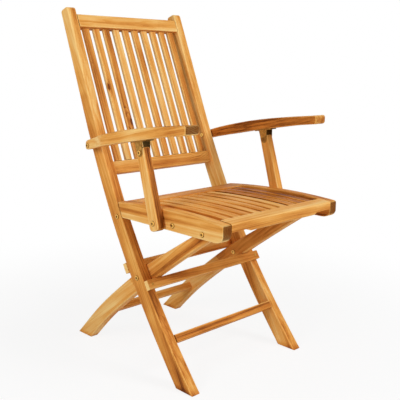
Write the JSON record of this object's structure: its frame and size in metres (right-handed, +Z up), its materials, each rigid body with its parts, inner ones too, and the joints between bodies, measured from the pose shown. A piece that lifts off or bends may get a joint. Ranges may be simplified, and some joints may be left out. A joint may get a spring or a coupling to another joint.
{
  "type": "folding armchair",
  "caption": "Folding outdoor armchair in oiled hardwood with a slatted seat and back, curved armrests on hinged posts, crossing legs and brass pivot fittings.",
  "frame": {"origin": "middle of the bounding box, on the ground", "axes": "+Z up, the sitter faces -Y, +X across the chair"},
  "size_m": [0.523, 0.6198, 0.924],
  "materials": {
    "teak": "satin oiled",
    "teak_slats": "satin oiled",
    "brass": "satin"
  },
  "bodies": {
    "frame": {"stile_left": "teak", "stile_right": "teak", "top_rail": "teak", "lower_back_rail": "teak", "back_slat_01": "teak_slats", "back_slat_02": "teak_slats", "back_slat_03": "teak_slats", "back_slat_04": "teak_slats", "back_slat_05": "teak_slats", "back_slat_06": "teak_slats", "back_slat_07": "teak_slats", "back_slat_08": "teak_slats", "back_slat_09": "teak_slats", "back_slat_10": "teak_slats", "front_batten": "teak", "rear_batten": "teak", "front_stretcher": "teak", "bolt_link_stile_left": "brass", "bolt_link_stile_right": "brass", "bolt_leg_stile_left": "brass", "bolt_leg_stile_right": "brass", "bolt_arm_stile_left": "brass", "bolt_arm_stile_right": "brass"},
    "legs": {"rear_leg_left": "teak", "rear_leg_right": "teak", "rear_stretcher": "teak", "nut_leg_seat_left": "brass", "nut_leg_seat_right": "brass"},
    "links": {"seat_link_left": "brass", "seat_link_right": "brass"},
    "seat": {"seat_side_rail_left": "teak", "seat_side_rail_right": "teak", "seat_front_rail": "teak", "seat_rear_rail": "teak", "seat_slat_01": "teak_slats", "seat_slat_02": "teak_slats", "seat_slat_03": "teak_slats", "seat_slat_04": "teak_slats", "seat_slat_05": "teak_slats", "seat_slat_06": "teak_slats", "seat_slat_07": "teak_slats", "seat_slat_08": "teak_slats", "seat_slat_09": "teak_slats", "seat_slat_10": "teak_slats", "bolt_leg_seat_left": "brass", "bolt_leg_seat_right": "brass", "bolt_link_seat_left": "brass", "bolt_link_seat_right": "brass"},
    "arm_left": {"armrest_left": "teak_slats", "arm_bracket_left": "brass", "bolt_post_arm_left": "brass"},
    "post_left": {"arm_post_left": "teak", "bolt_post_seat_left": "brass"},
    "arm_right": {"armrest_right": "teak_slats", "arm_bracket_right": "brass", "bolt_post_arm_right": "brass"},
    "post_right": {"arm_post_right": "teak", "bolt_post_seat_right": "brass"}
  },
  "joints": [
    {"name": "legs_fold", "type": "hinge", "parent": "frame", "child": "legs", "pos_m": [0, -0.01496, 0.2411], "axis": [-1, 0, 0], "range_deg": [0, 77.4]},
    {"name": "links_fold", "type": "hinge", "parent": "frame", "child": "links", "pos_m": [0, 0.06484, 0.3851], "axis": [-1, 0, 0], "range_deg": [0, 101.9]},
    {"name": "seat_fold", "type": "hinge", "parent": "links", "child": "seat", "pos_m": [0, -0.14886, 0.4017], "axis": [1, 0, 0], "range_deg": [0, 168.7]},
    {"name": "arm_left_fold", "type": "hinge", "parent": "frame", "child": "arm_left", "pos_m": [0, 0.14974, 0.5632], "axis": [-1, 0, 0], "range_deg": [0, 125.3]},
    {"name": "post_left_fold", "type": "hinge", "parent": "arm_left", "child": "post_left", "pos_m": [0, -0.06046, 0.5663], "axis": [1, 0, 0], "range_deg": [0, 89.6]},
    {"name": "arm_right_fold", "type": "hinge", "parent": "frame", "child": "arm_right", "pos_m": [0, 0.14974, 0.5632], "axis": [-1, 0, 0], "range_deg": [0, 125.3]},
    {"name": "post_right_fold", "type": "hinge", "parent": "arm_right", "child": "post_right", "pos_m": [0, -0.06046, 0.5663], "axis": [1, 0, 0], "range_deg": [0, 89.6]}
  ],
  "couplings": [
    {"joint": "links_fold", "follows": "legs_fold", "ratio": 1.3158},
    {"joint": "seat_fold", "follows": "legs_fold", "ratio": 2.1781},
    {"joint": "arm_left_fold", "follows": "legs_fold", "ratio": 1.6175},
    {"joint": "post_left_fold", "follows": "legs_fold", "ratio": 1.1568},
    {"joint": "arm_right_fold", "follows": "legs_fold", "ratio": 1.6175},
    {"joint": "post_right_fold", "follows": "legs_fold", "ratio": 1.1568}
  ]
}
